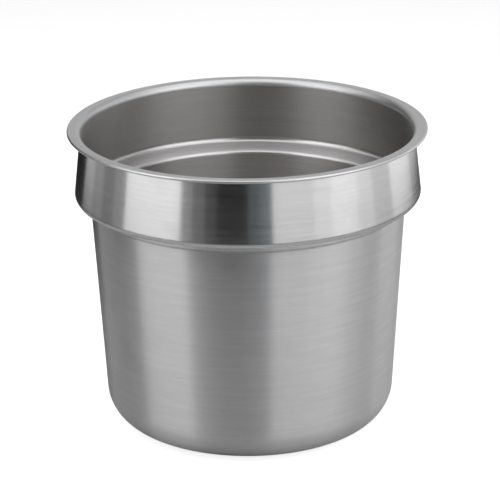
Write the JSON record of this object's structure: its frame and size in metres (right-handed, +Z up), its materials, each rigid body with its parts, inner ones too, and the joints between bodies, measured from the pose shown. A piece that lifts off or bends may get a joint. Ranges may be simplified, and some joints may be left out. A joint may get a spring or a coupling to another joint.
{
  "type": "soup kettle pot",
  "caption": "Open round stainless pot that hangs in a soup kettle's well: hemmed flange rim, band that narrows upwards, sloping shoulder, tapered body and flat base.",
  "frame": {"origin": "centre of the base's underside, on the surface the pot stands on", "axes": "+Z up along the pot's axis, towards the open mouth; the pot is round, so +X and +Y are any two directions across it"},
  "size_m": [0.2749, 0.275, 0.235],
  "materials": {
    "stainless_sheet": "fine satin brushing round the pot, brighter on the band and flatter on the rim"
  },
  "bodies": {
    "root": {"soup_pot": "stainless_sheet"}
  },
  "joints": []
}
